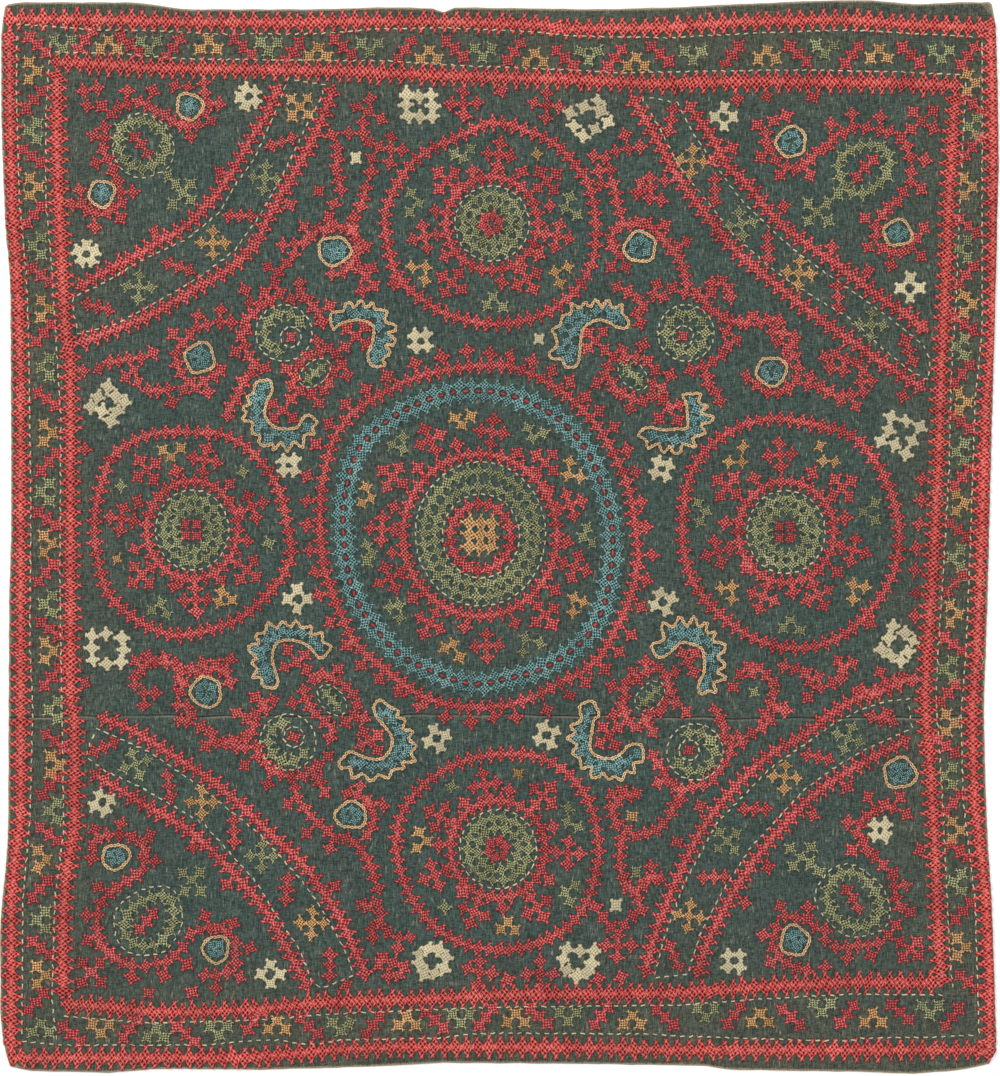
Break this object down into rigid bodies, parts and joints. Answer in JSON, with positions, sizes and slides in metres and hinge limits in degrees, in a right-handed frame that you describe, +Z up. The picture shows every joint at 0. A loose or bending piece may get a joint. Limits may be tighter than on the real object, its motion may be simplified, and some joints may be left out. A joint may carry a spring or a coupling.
{
  "type": "embroidered cotton cloth square",
  "caption": "Nearly square cotton cloth of two sewn panels, covered in raised interlaced embroidery of medallions, bands, rosettes and crescents.",
  "frame": {"origin": "middle of the cloth's bounding rectangle, on the surface that it lies on", "axes": "+X towards the cloth's right edge, +Y towards its top edge, +Z up out of the embroidered face"},
  "size_m": [0.6992, 0.7524, 0.0022],
  "materials": {
    "ground": "dull handspun cotton, dark blue-green, worn and slubbed",
    "red_thread": "twisted cotton thread, soft sheen",
    "green_thread": "twisted cotton thread, faded olive",
    "gold_thread": "twisted cotton thread, old gold",
    "blue_thread": "twisted cotton thread, faded blue",
    "cream_thread": "twisted cotton thread, undyed"
  },
  "bodies": {
    "root": {"cloth_upper": "ground", "cloth_lower": "ground"}
  },
  "joints": []
}
